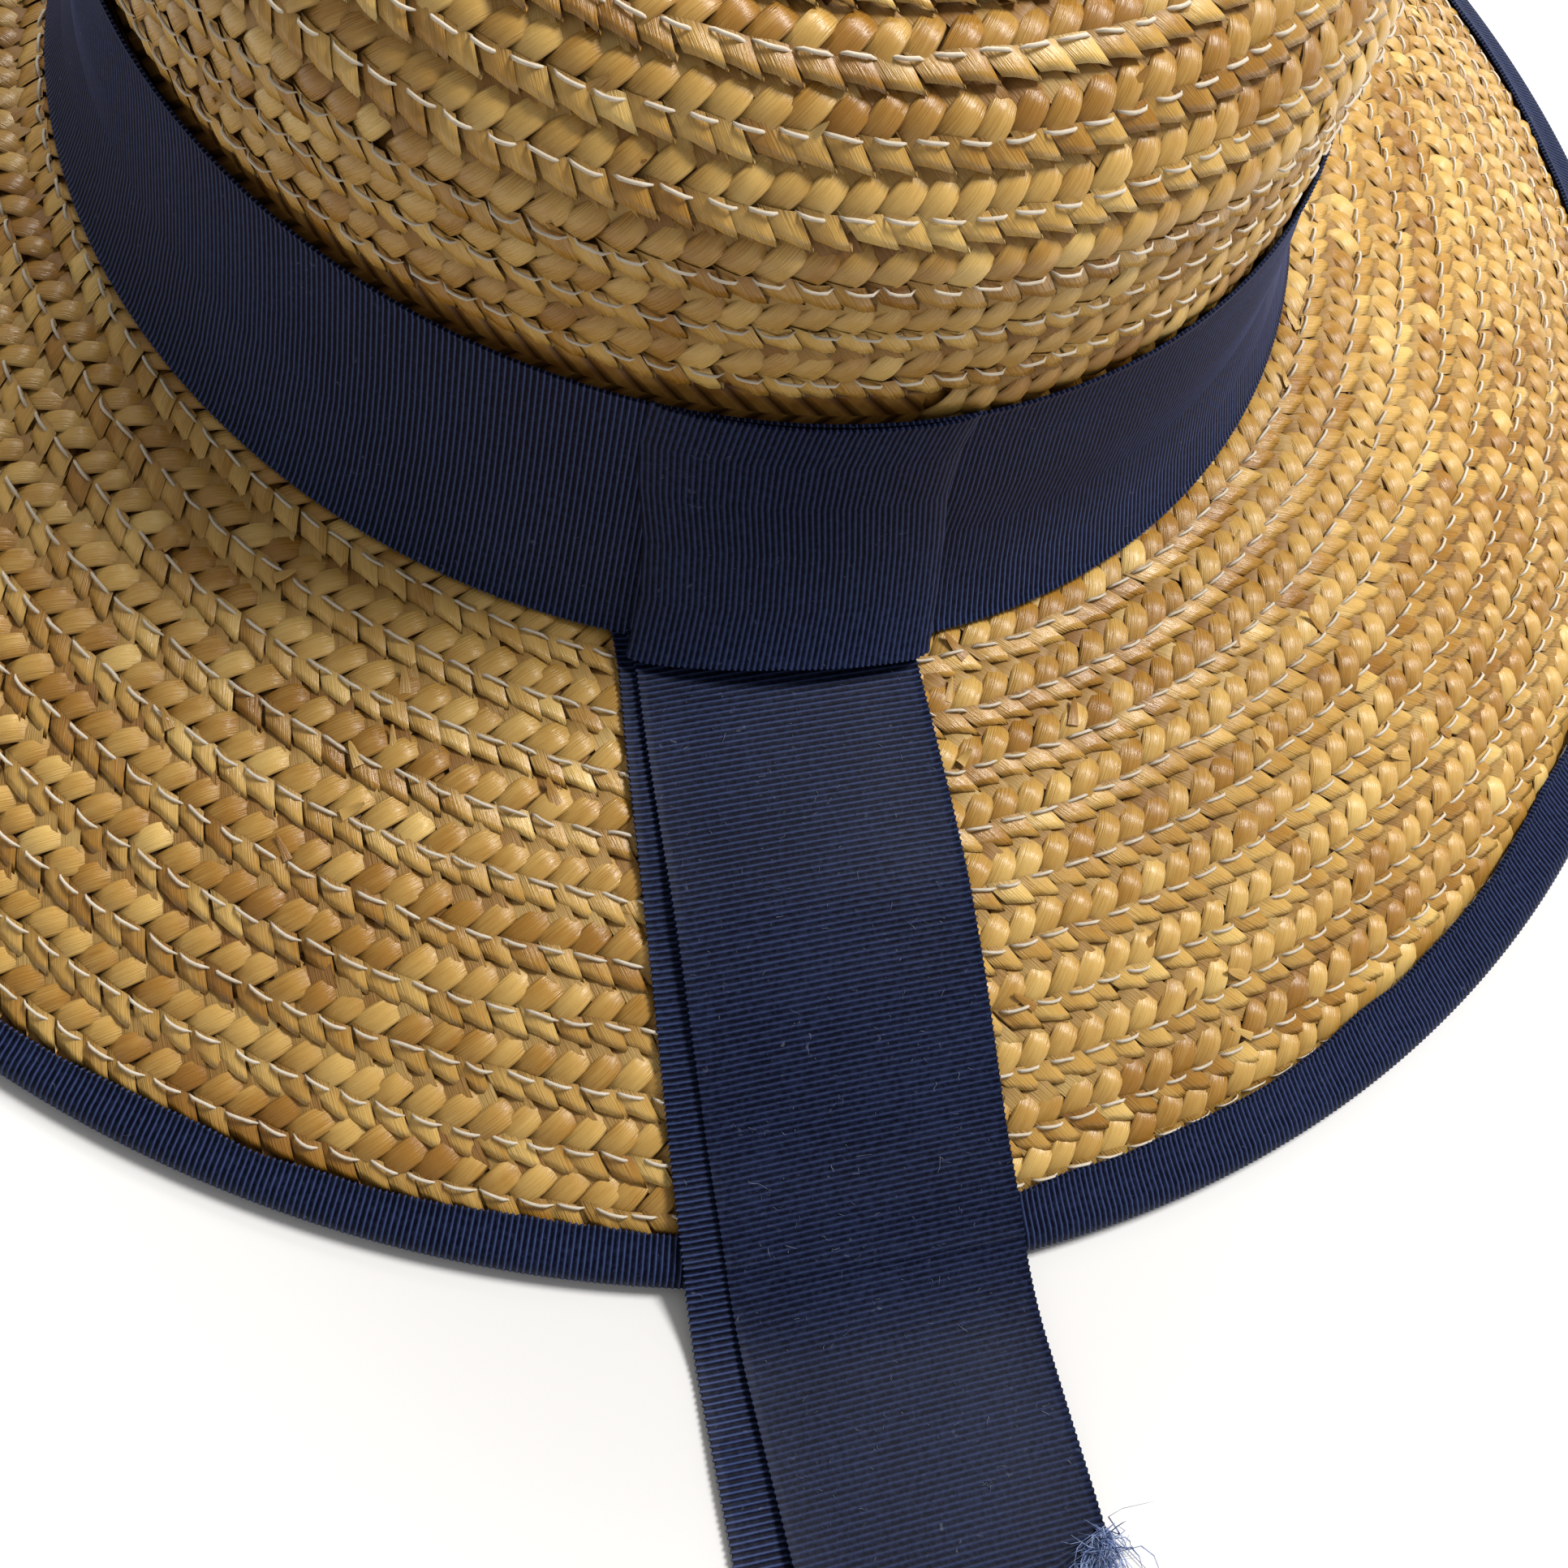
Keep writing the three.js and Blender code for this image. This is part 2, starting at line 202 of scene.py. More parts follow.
def on_crown(turn, path, lift):
    """A point on the crown: path runs up from the top of the band, then in over the tip"""
    lean = np.interp(path, crown_path, crown_lean)
    out = np.maximum(np.interp(path, crown_path, crown_out), TIP_HOLE - HEAD_HALF_WIDTH)
    height = np.interp(path, crown_path, crown_height)
    return on_oval(turn, out, height, np.cos(lean), np.sin(lean), lift)


def smooth_noise(values, seed, period):
    """A gentle wander between -1 and 1 along a length"""
    draw = np.random.default_rng(seed)
    total = np.zeros_like(values)
    for octave in range(4):
        wave = period / (1 + 0.83 * octave)
        total += np.sin(2 * np.pi * (values / wave + draw.random())) / (1 + octave)
    return total / 2


def lay_grid(name, columns, rows, place):
    """A grid of cells laid where place says: u runs to the right and v up, both from 0 to 1"""
    bpy.ops.object.select_all(action="DESELECT")
    bpy.ops.mesh.primitive_grid_add(x_subdivisions=columns, y_subdivisions=rows, size=1)
    piece = bpy.context.object
    piece.name = name
    piece.data.name = name
    flat = np.empty(3 * len(piece.data.vertices))
    piece.data.vertices.foreach_get("co", flat)
    u = flat[0::3] + 0.5
    v = flat[1::3] + 0.5
    piece.data.vertices.foreach_set("co", place(u, v).ravel())
    piece.data.update()
    return piece


def stretch_map(piece, width, length):
    """Turns the grid's own map into millimetres across and along"""
    layer = piece.data.uv_layers.active.data
    flat = np.empty(2 * len(layer))
    layer.foreach_get("uv", flat)
    flat[0::2] *= width
    flat[1::2] *= length
    layer.foreach_set("uv", flat)


def close_seam(piece):
    """Merges the two ends of a grid that has gone all the way round"""
    bpy.ops.object.select_all(action="DESELECT")
    piece.select_set(True)
    bpy.context.view_layer.objects.active = piece
    bpy.ops.object.mode_set(mode="EDIT")
    bpy.ops.mesh.select_all(action="SELECT")
    bpy.ops.mesh.remove_doubles(threshold=0.00001)
    bpy.ops.object.mode_set(mode="OBJECT")


def give_wall(piece, thickness):
    """Thickens a sheet inwards and rounds its shading"""
    bpy.ops.object.select_all(action="DESELECT")
    piece.select_set(True)
    bpy.context.view_layer.objects.active = piece
    wall = piece.modifiers.new("wall", "SOLIDIFY")
    wall.thickness = thickness * MM
    wall.offset = -1
    wall.use_even_offset = False
    bpy.ops.object.modifier_apply(modifier="wall")
    bpy.ops.object.shade_smooth_by_angle(angle=math.radians(50))


# Straw finish
# The straw is split wheat stem: glossy, with fine lines along each piece and its own tone.
# Ends that are tucked under their neighbours are painted darker brown as shade and are duller, and pith
# leaves pale patches.


class Socket:
    """A socket of a material, so that shader maths reads as plain sums"""

    def __init__(self, tree, link):
        self.tree = tree
        self.link = link

    def node(self, kind, settings=None, **values):
        made = self.tree.nodes.new(kind)
        for key, value in (settings or {}).items():
            setattr(made, key, value)
        for key, value in values.items():
            target = made.inputs[int(key[1:])] if key[0] == "_" else made.inputs[key]
            if isinstance(value, Socket):
                self.tree.links.new(value.link, target)
            else:
                target.default_value = value
        return made

    def out(self, kind, settings=None, output=0, **values):
        return Socket(self.tree, self.node(kind, settings, **values).outputs[output])

    def maths(self, operation, *values):
        keyed = {f"_{i}": value for i, value in enumerate(values)}
        return self.out("ShaderNodeMath", {"operation": operation}, **keyed)

    def __add__(self, other):
        return self.maths("ADD", self, other)

    __radd__ = __add__

    def __mul__(self, other):
        return self.maths("MULTIPLY", self, other)

    __rmul__ = __mul__

    def __sub__(self, other):
        return self.maths("SUBTRACT", self, other)

    def __rsub__(self, other):
        return self.maths("SUBTRACT", other, self)

    def ramp(self, low, high, to_low=0.0, to_high=1.0):
        keyed = {"_0": self, "_1": low, "_2": high, "_3": to_low, "_4": to_high}
        return self.out("ShaderNodeMapRange", {"clamp": True}, **keyed)

    def mix(self, dark, light):
        """A colour from dark to light by this value"""
        settings = {"data_type": "RGBA"}
        return self.out("ShaderNodeMix", settings, output=2, _0=self, _6=dark, _7=light)


def start_finish(name, roughness, specular):
    """An empty material with its principled shader, and a socket to build from"""
    finish = bpy.data.materials.new(name)
    finish.use_nodes = True
    shader = finish.node_tree.nodes["Principled BSDF"]
    shader.inputs["Roughness"].default_value = roughness
    shader.inputs["Specular IOR Level"].default_value = specular
    return finish, shader, Socket(finish.node_tree, None)


def colour(red, green, blue):
    """A colour given as it looks on screen, from 0 to 255"""
    parts = []
    for part in (red, green, blue):
        share = part / 255
        parts.append(share / 12.92 if share <= 0.04045 else ((share + 0.055) / 1.055) ** 2.4)
    return (*parts, 1)


def plug(finish, socket, target):
    finish.node_tree.links.new(socket.link, target)


def straw_finish(name, dark, middle, light):
    finish, shader, start = start_finish(name, 0.4, 0.55)
    shader.inputs["Coat Roughness"].default_value = 0.25
    along = start.out("ShaderNodeUVMap", {"uv_map": "straw"})
    tone = start.out("ShaderNodeAttribute", {"attribute_name": "tone"}, output=2)
    tuck = start.out("ShaderNodeAttribute", {"attribute_name": "tuck"}, output=2)
    lines_place = start.out("ShaderNodeMapping", None, Vector=along, Scale=(5.5, 0.16, 1))
    lines = start.out("ShaderNodeTexNoise", None, Vector=lines_place, Scale=1.0, Detail=3.0)
    pith_place = start.out("ShaderNodeMapping", None, Vector=along, Scale=(0.35, 0.12, 1))
    pith = start.out("ShaderNodeTexNoise", None, Vector=pith_place, Scale=1.0, Detail=2.0)
    body = start.out("ShaderNodeTexCoord", None, output=3)
    stain = start.out("ShaderNodeTexNoise", None, Vector=body, Scale=38.0, Detail=3.0)
    warm = (tone * 0.72 + stain * 0.35 + lines * 0.3 - 0.32).ramp(0.0, 0.55)
    pale = (tone * 0.8 + pith * 0.55 + lines * 0.25 - 0.55).ramp(0.1, 0.6)
    surface = pale.mix(warm.mix(dark, middle), light)
    # Painted shade: where the tuck value is low, the straw's colour is pulled towards dark brown.
    straw_with_painted_shade = tuck.ramp(0.0, 1.0, 0.75, 0.0).mix(surface, colour(72, 36, 8))
    plug(finish, straw_with_painted_shade, shader.inputs["Base Color"])
    hidden = tuck.ramp(0.2, 1.0, 0.5, 0.0)
    plug(finish, lines * 0.3 + pith * 0.16 + 0.02 + hidden, shader.inputs["Roughness"])
    plug(finish, tuck.ramp(0.4, 1.0, 0.0, 0.14), shader.inputs["Coat Weight"])
    relief = start.out(
        "ShaderNodeBump", None, Strength=0.8, Distance=0.0003, Height=lines * 0.8 + pith * 0.2
    )
    plug(finish, relief, shader.inputs["Normal"])
    return finish


straw = straw_finish("straw", colour(146, 96, 28), colour(196, 146, 60), colour(232, 194, 114))


# Straw shells
# Under the plait lie the plain walls of the crown and brim, the inner side of the sewn rows.
# They carry the hat's form and are seen from below and inside.


def shell_finish():
    """The plait's inner side as a drawn pattern: two ranks of slanted leaves to each row"""
    row_step = 7.8
    leaf_step = 4.1
    finish, shader, start = start_finish("inner_straw", 0.5, 0.4)
    along = start.out("ShaderNodeUVMap", {"uv_map": "UVMap"})
    parts = start.node("ShaderNodeSeparateXYZ", None, Vector=along)
    across = Socket(finish.node_tree, parts.outputs[0])
    up_row = Socket(finish.node_tree, parts.outputs[1])
    in_row = start.maths("FRACT", up_row * (1 / row_step))
    left_leaf = start.maths("PINGPONG", (across + up_row * 0.9) * (1 / leaf_step), 0.5)
    right_leaf = start.maths("PINGPONG", (across - up_row * 0.9) * (1 / leaf_step), 0.5)
    side = start.maths("GREATER_THAN", in_row, 0.5)
    leaf = left_leaf * side + right_leaf * (1 - side)
    edge = start.maths("PINGPONG", in_row, 0.5).ramp(0.0, 0.08)
    height = leaf.ramp(0.0, 0.3) * edge
    stain = start.out("ShaderNodeTexNoise", None, Vector=along, Scale=0.3, Detail=4.0)
    base = stain.ramp(0.35, 0.65).mix(colour(146, 96, 36), colour(192, 142, 68))
    # Painted shade: the low places of the drawn pattern, between the leaves and along the row edges, are
    # darkened towards dark brown.
    shaded = height.mix(colour(82, 46, 14), base)
    plug(finish, shaded, shader.inputs["Base Color"])
    relief = start.out("ShaderNodeBump", None, Strength=0.8, Distance=0.0006, Height=height)
    plug(finish, relief, shader.inputs["Normal"])
    return finish


inner_straw = shell_finish()


SHELL_SINK = 0.3
SHELL_WALL = 1.1


def crown_shell_place(u, v):
    """u runs round the crown and v up behind the band, on up the wall and in over the tip"""
    foot = BAND_FOOT + 0.6
    rise_path = BAND_TOP - foot
    reach = v * (rise_path + crown_path[-1])
    below = reach < rise_path
    height = foot + np.minimum(reach, rise_path)
    flare = FOOT_FLARE * np.interp((height - BAND_FOOT) / BAND_RISE, foot_up, foot_out)
    wall = on_oval(2 * np.pi * u, flare - STRAW_LOW - SHELL_SINK, height, 1, 0, 0)
    path = np.maximum(reach - rise_path, 0)
    out = np.maximum(np.interp(path, crown_path, crown_out) - SHELL_SINK, -HEAD_HALF_WIDTH)
    top = on_oval(2 * np.pi * u, out, np.interp(path, crown_path, crown_height) - 0.25, 1, 0, 0)
    return np.where(below[:, None], wall, top)


def brim_shell_place(u, v):
    """u runs round the hat and v inwards from the rim"""
    path = BRIM_SLOPE_LENGTH - v * (BRIM_SLOPE_LENGTH + 1)
    return on_brim(2 * np.pi * u, path, -SHELL_SINK)


def build_shell(name, columns, rows, place, map_width, map_length):
    """Its map is about its girth and slope in millimetres, so that the drawn rows keep their size"""
    piece = lay_grid(name, columns, rows, place)
    stretch_map(piece, map_width, map_length)
    close_seam(piece)
    give_wall(piece, SHELL_WALL)
    piece.data.materials.append(inner_straw)
    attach(piece, "root")


build_shell("crown_shell", 160, 48, crown_shell_place, 530, 150)
build_shell("brim_shell", 180, 30, brim_shell_place, 800, 78)


# Plaited straw
# Seven split straws are plaited into one long braid, sewn round and round in a spiral.
# Each row laps over the next one out: folded points at its edge, then rounded leaves, then a tuck.

PITCH = 4.1
ROW_STEP = 7.75


def grid_of(columns, rows):
    """Corners of a small grid, c from -1 to 1 across and w from 0 to 1 along it, and its faces"""
    c, w = np.meshgrid(np.linspace(-1, 1, columns + 1), np.linspace(0, 1, rows + 1))
    corner = np.arange((columns + 1) * (rows + 1)).reshape(rows + 1, columns + 1)
    faces = np.stack([
        corner[:-1, :-1].ravel(),
        corner[:-1, 1:].ravel(),
        corner[1:, 1:].ravel(),
        corner[1:, :-1].ravel(),
    ], axis=1)
    return c.ravel(), w.ravel(), faces


def leaf_shape():
    """The rounded leaf in the middle of a row, lying up to the right, with crisply folded sides"""
    flat_part = 0.84
    c, w, faces = grid_of(4, 7)
    share = [0, 0.14, 0.28, 0.42, 0.57, 0.71, 0.85, 1]
    c = np.interp(c, [-1, -0.5, 0, 0.5, 1], [-1, -flat_part, 0, flat_part, 1])
    half = np.interp(w, [0, 0.2, 0.55, 0.85, 1], [1.5, 1.66, 1.74, 1.7, 1.5])
    reach = w - 0.045 * c ** 2 * w
    along = 5.0 * reach + 0.762 * c * half
    across = 2.0 + 5.9 * reach - 0.649 * c * half
    arch = np.interp(w, share, [0, 0.42, 0.84, 1.14, 1.24, 1.08, 0.62, -0.1])
    fold = np.maximum(np.abs(c) - flat_part, 0) / (1 - flat_part)
    lift = arch - 0.1 * c ** 2 - 0.28 * fold + 0.1 * c
    # Painted shade: the tuck value is low at the leaf's ends, where it passes under other straws, and is
    # lowered further along its folded sides to make dark seams.
    tuck = np.interp(w, [0, 0.2, 0.8, 0.97, 1], [0, 0.8, 1, 0.5, 0])
    return {
        "along": along,
        "across": across,
        "lift": lift,
        "tuck": tuck - 0.6 * fold,
        "map": np.stack([c * half, w * 7.7], axis=1),
        "faces": faces,
        "spread": 1.0,
    }


def point_shape():
    """The folded point at the edge of a row; a runs along the row and b out to its edge"""
    fold_at = 0.6
    c, w, faces = grid_of(4, 4)
    a = np.interp(c, [-1, -0.5, 0, 0.5, 1], [0, fold_at / 2, fold_at, 0.9, 1])
    b = np.minimum(w / 0.75, 1)
    under = w > 0.9
    top_along = -0.3 + 4.5 * a
    foot_along = 2.0 + 4.35 * a
    along = top_along + (foot_along - top_along) * b
    top_across = 3.55 - 0.25 * a
    foot_across = 0.5 - 0.95 * a ** 1.5
    across = top_across + (foot_across - top_across) * b
    crease = np.maximum(a + 0.75 * b - 1.2, 0)
    fold = np.maximum(a - fold_at, 0) / (1 - fold_at)
    lift = 0.62 + 1.05 * a - 0.72 * fold - 0.2 * (1 - b) - 0.7 * crease - 0.14 * b ** 2
    across = np.where(under, across + 0.7, across)
    lift = np.where(under, 0.1, lift)
    # Painted shade: the folded-under row, the top next to the stitches and the left edge get low tuck
    # values, so they are painted darker.
    tuck = np.where(under, 0.15, np.interp(b, [0, 0.15, 1], [0.55, 0.95, 1]))
    return {
        "along": along,
        "across": across,
        "lift": lift,
        "tuck": tuck - 0.35 * (a < 0.1),
        "map": np.stack([a * 3.4, b * 3.9], axis=1),
        "faces": faces[:, ::-1],
        "spread": 0.8,
    }


def tail_shape():
    """The straw beyond the leaves, lying up to the left, mostly under the row inside it"""
    c, w, faces = grid_of(2, 3)
    along = 7.4 - 2.9 * w + 0.79 * c * 1.6
    across = 5.1 + 3.9 * w + 0.61 * c * 1.6
    lift = np.interp(w, [0, 0.35, 0.7, 1], [0.3, 0.78, 0.66, 0.1]) - 0.12 * c ** 2 + 0.1 * c
    return {
        "along": along,
        "across": across,
        "lift": lift,
        # Painted shade: the tail lies mostly under the row inside it, so its low tuck values paint it
        # darker.
        "tuck": np.interp(w, [0, 0.4, 1], [0.1, 0.65, 0.2]),
        "map": np.stack([c * 1.45, w * 4.9], axis=1),
        "faces": faces,
        "spread": 0.8,
    }


def course_lengths(surface, edge_path, start_turn, end_turn):
    """Distance sewn along the spiral, in millimetres, against its turns"""
    turn_step = 0.0025
    turns = np.arange(start_turn, end_turn, turn_step)
    line = surface(2 * np.pi * turns, edge_path(turns), 1.0)
    steps = np.linalg.norm(np.diff(line, axis=0), axis=1) / MM
    return turns, np.concatenate([[0], np.cumsum(steps)])


def sewing_wander(along, seed):
    """How far the sewn rows stray sideways and up along the spiral, in plait and stitches alike"""
    sideways = 0.28 * smooth_noise(along, seed, 61) + 0.16 * smooth_noise(along, seed + 1, 13)
    return sideways, 0.12 * smooth_noise(along, seed + 2, 37)


def shoulder_lift(at_turn, across):
    """The rows on the crown's shoulder stand a little proud at their edges"""
    return 0.6 * np.interp(at_turn, [2, 3, 7, 8], [0, 1, 1, 0]) * (1 - across / 5)


def add_strands(name, points, faces, finish):
    """One piece from the points and faces of many small strands"""
    mesh = bpy.data.meshes.new(name)
    mesh.from_pydata(points, [], faces)
    mesh.materials.append(finish)
    piece = bpy.data.objects.new(name, mesh)
    bpy.context.scene.collection.objects.link(piece)
    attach(piece, "root")
    return piece


def mark_straw(piece, faces, flat_map, tone, tuck):
    """Stores what the straw finish reads: the map along each straw, its tone and how far it is tucked,
    which sets its painted shade and dullness
    """
    mesh = piece.data
    mesh.attributes.new("tone", "FLOAT", "POINT").data.foreach_set("value", tone)
    mesh.attributes.new("tuck", "FLOAT", "POINT").data.foreach_set("value", tuck)
    layer = mesh.uv_layers.new(name="straw")
    layer.data.foreach_set("uv", flat_map[faces.ravel()].ravel())


def build_plait(name, surface, inward, edge_path, start_turn, end_turn, seed):
    """Copies the straw shapes along the spiral into one mesh, the brim's last turn sinking away"""
    draw = np.random.default_rng(seed)
    turns, sewn = course_lengths(surface, edge_path, start_turn, end_turn)
    count = int(sewn[-1] / PITCH)
    starts = np.arange(count) * PITCH + draw.normal(0, 0.13, count)
    band = 0.5 + 0.16 * smooth_noise(starts, seed + 3, 230)
    points, faces, maps, tones, tucks = [], [], [], [], []
    offset = 0
    for shape in (tail_shape(), leaf_shape(), point_shape()):
        size = len(shape["along"])
        loose = draw.normal(0, 1, (count, 6)) * shape["spread"]
        wide = 1 + 0.05 * loose[:, 0:1]
        along = starts[:, None] + shape["along"] * wide + 0.1 * loose[:, 1:2]
        across = shape["across"] + 0.14 * loose[:, 2:3]
        lift = shape["lift"] * (1 + 0.09 * loose[:, 3:4]) + 0.05 * loose[:, 4:5]
        centre = np.arange(size) - size / 2
        lift = lift + 0.06 * loose[:, 5:6] * centre / size
        along = np.clip(along, 0, sewn[-1])
        sideways, raised = sewing_wander(along, seed)
        across = across + sideways
        lift = lift + raised
        at_turn = np.interp(along, sewn, turns)
        path = edge_path(at_turn) + inward * across
        if inward < 0:
            lift = lift - 0.9 * np.clip(at_turn - brim_settled, 0, 1)
        else:
            lift = lift + shoulder_lift(at_turn, across)
        placed = surface(2 * np.pi * at_turn, path, lift)
        points.append(placed.reshape(-1, 3))
        block = offset + np.arange(count)[:, None, None] * size + shape["faces"][None]
        faces.append(block.reshape(-1, 4))
        shift = draw.random((count, 1, 2)) * 90
        maps.append((shape["map"][None] + shift).reshape(-1, 2))
        tone = np.clip(band + draw.normal(0, 0.1, count) + 0.4 * (draw.random(count) > 0.95), 0, 1)
        tones.append(np.repeat(tone, size))
        tucks.append(np.tile(shape["tuck"], count))
        offset += count * size
    faces = np.concatenate(faces)
    piece = add_strands(name, np.concatenate(points), faces, straw)
    mark_straw(piece, faces, np.concatenate(maps), np.concatenate(tones), np.concatenate(tucks))
    piece.data.shade_smooth()
    return piece


FIRST_ROW = 6.4
LAST_ROW = BRIM_SLOPE_LENGTH - 4.6
brim_settled = (LAST_ROW - FIRST_ROW) / ROW_STEP
brim_turns = brim_settled + 0.97


def brim_edge(turns):
    """The last turn no longer moves outwards, so that the plait ends under its neighbour"""
    return np.minimum(FIRST_ROW + ROW_STEP * turns, LAST_ROW)


def crown_edge(turns):
    """The crown's first turn starts hidden under the band"""
    return ROW_STEP * turns - 5.0


BRIM_START = -1.0
BRIM_SPLIT = 4.6
INNER_SEED = 11
OUTER_SEED = 12
CROWN_SEED = 13
crown_turns = (TIP_REACH + 5.5) / ROW_STEP
inner_brim_plait = build_plait(
    "inner_brim_plait", on_brim, -1, brim_edge, BRIM_START, BRIM_SPLIT, INNER_SEED
)
build_plait("outer_brim_plait", on_brim, -1, brim_edge, BRIM_SPLIT, brim_turns, OUTER_SEED)
crown_plait = build_plait("crown_plait", on_crown, 1, crown_edge, 0, crown_turns, CROWN_SEED)
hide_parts("brim")
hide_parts("crown")


# Loose ends of straw
# Where a new straw was laid in, its tip or the old one's has worked loose and curls up a little.

LOOSE_STEP = 75
LOOSE_WALL = 0.12


def build_loose_ends(name, surface, inward, edge_path, start_turn, end_turn, seed):
    """Small pointed strips, bent up at their tips, scattered along the spiral"""
    draw = np.random.default_rng(seed)
    turns, sewn = course_lengths(surface, edge_path, start_turn, end_turn)
    count = int(sewn[-1] / LOOSE_STEP)
    starts = np.sort(draw.uniform(10, sewn[-1] - 10, (count, 1)), axis=0)
    c, w, faces = grid_of(2, 5)
    length = draw.uniform(2.2, 4.2, (count, 1))
    heading = draw.choice([0.85, 2.3], (count, 1)) + draw.normal(0, 0.25, (count, 1))
    width = draw.uniform(0.5, 0.85, (count, 1)) * np.sqrt(1.02 - w)
    curl = draw.uniform(0.4, 1.3, (count, 1))
    along = starts + length * w * np.cos(heading) - c * width * np.sin(heading)
    across = draw.uniform(1.5, 5.5, (count, 1)) + length * w * np.sin(heading) + c * width * np.cos(heading)
    lift = 1.15 + curl * w ** 2 - 0.15 * c ** 2
    at_turn = np.interp(along, sewn, turns)
    placed = surface(2 * np.pi * at_turn, edge_path(at_turn) + inward * across, lift)
    if inward > 0:
        faces = faces[:, ::-1]
    block = (np.arange(count)[:, None, None] * len(c) + faces[None]).reshape(-1, 4)
    tone = np.repeat(draw.uniform(0.2, 0.9, count), len(c))
    flat_map = np.tile(np.stack([c * 0.7, w * 3.5], axis=1), (count, 1))
    piece = add_strands(name, placed.reshape(-1, 3), block, straw)
    # The tuck value of 0.8 gives the loose ends a little painted shade.
    mark_straw(piece, block, flat_map, tone, np.full(len(tone), 0.8))
    give_wall(piece, LOOSE_WALL)


build_loose_ends("brim_loose_ends", on_brim, -1, brim_edge, 0, brim_settled, 21)
build_loose_ends("crown_loose_ends", on_crown, 1, crown_edge, 0, 8, 22)


# Sewing thread
# A chain machine has sewn each row down with pale cotton, one long stitch after another.
# The stitches lie just inside the folded points, slightly slanted, with their ends pulled in.

STITCH_STEP = 4.75
STITCH_LENGTH = 4.1
STITCH_INSET = 2.95
THREAD_RADIUS = 0.24
THREAD_RINGS = 6
THREAD_SIDES = 4
UNDER_THE_BAND = 230


def thread_finish():
    finish, shader, start = start_finish("cotton_thread", 0.7, 0.3)
    body = start.out("ShaderNodeTexCoord", None, output=3)
    lint = start.out("ShaderNodeTexNoise", None, Vector=body, Scale=900.0, Detail=2.0)
    dust = start.out("ShaderNodeTexNoise", None, Vector=body, Scale=60.0, Detail=2.0)
    pale = (lint * 0.5 + dust * 0.5).mix(colour(176, 158, 128), colour(240, 232, 218))
    plug(finish, pale, shader.inputs["Base Color"])
    relief = start.out("ShaderNodeBump", None, Strength=0.5, Distance=0.0001, Height=lint)
    plug(finish, relief, shader.inputs["Normal"])
    return finish


cotton_thread = thread_finish()


def build_stitches(name, surface, inward, edge_path, start_turn, end_turn, seed, hidden=0):
    """One small bent tube for each stitch along the spiral, past its hidden first length"""
    draw = np.random.default_rng(seed)
    turns, sewn = course_lengths(surface, edge_path, start_turn, end_turn)
    count = int((sewn[-1] - hidden) / STITCH_STEP)
    starts = hidden + np.arange(count) * STITCH_STEP + draw.normal(0, 0.2, count)
    share = np.linspace(0, 1, THREAD_RINGS)
    ring = np.linspace(0, 2 * np.pi, THREAD_SIDES + 1)[:-1]
    length = STITCH_LENGTH + draw.normal(0, 0.22, (count, 1, 1))
    slant = 0.35 + draw.normal(0, 0.16, (count, 1, 1))
    bow = 0.16 + draw.normal(0, 0.1, (count, 1, 1))
    s = share[None, :, None]
    along = starts[:, None, None] + s * length + 0 * ring
    middle = STITCH_INSET - slant * (s - 0.5) - bow * np.sin(np.pi * s)
    bead = THREAD_RADIUS * np.interp(share, [0, 0.12, 0.88, 1], [0.55, 1, 1, 0.55])[None, :, None]
    across = middle + bead * np.cos(ring)
    height = np.interp(share, [0, 0.2, 0.5, 0.8, 1], [0.55, 1.33, 1.42, 1.33, 0.55])[None, :, None]
    lift = height + bead * np.sin(ring)
    along = np.clip(along, 0, sewn[-1])
    sideways, raised = sewing_wander(along, seed)
    across = across + sideways
    lift = lift + raised
    at_turn = np.interp(along, sewn, turns)
    if inward > 0:
        lift = lift + shoulder_lift(at_turn, across)
    placed = surface(2 * np.pi * at_turn, edge_path(at_turn) + inward * across, lift)
    corner = np.arange(THREAD_RINGS * THREAD_SIDES).reshape(THREAD_RINGS, THREAD_SIDES)
    nearer = np.roll(corner, -1, axis=1)
    faces = np.stack([corner[:-1], corner[1:], nearer[1:], nearer[:-1]], axis=-1).reshape(-1, 4)
    faces = np.concatenate([faces, [corner[0], corner[-1][::-1]]])
    if inward > 0:
        faces = faces[:, ::-1]
    block = (np.arange(count)[:, None, None] * corner.size + faces[None]).reshape(-1, 4)
    piece = add_strands(name, placed.reshape(-1, 3), block, cotton_thread)
    piece.data.shade_smooth()


build_stitches("inner_brim_stitches", on_brim, -1, brim_edge, BRIM_START, BRIM_SPLIT, INNER_SEED)
build_stitches("outer_brim_stitches", on_brim, -1, brim_edge, BRIM_SPLIT, brim_settled + 0.6, OUTER_SEED)
build_stitches("crown_stitches", on_crown, 1, crown_edge, 0, crown_turns, CROWN_SEED, UNDER_THE_BAND)


# Grosgrain ribbon
# Navy ribbon with fine cross ribs and looped edges, soft and about half a millimetre thick.
# The ribs are real ridges, and the edges swell a little at every rib. Its rows across are given
# by their distance from the middle, closest together at the edges.

RIB = 0.81
RIB_HEIGHT = 0.17
RIB_STEPS = 3
EDGE_CORD = 0.25
RIBBON_WALL = 0.45
RIM_OUT = FOOT_FLARE + BRIM_RUN
edge_rows = [-19.1, -18.85, -18.4, -17.9, -12, -4, 4, 12, 17.9, 18.4, 18.85, 19.1]
RIBBON_ROWS = len(edge_rows) - 1


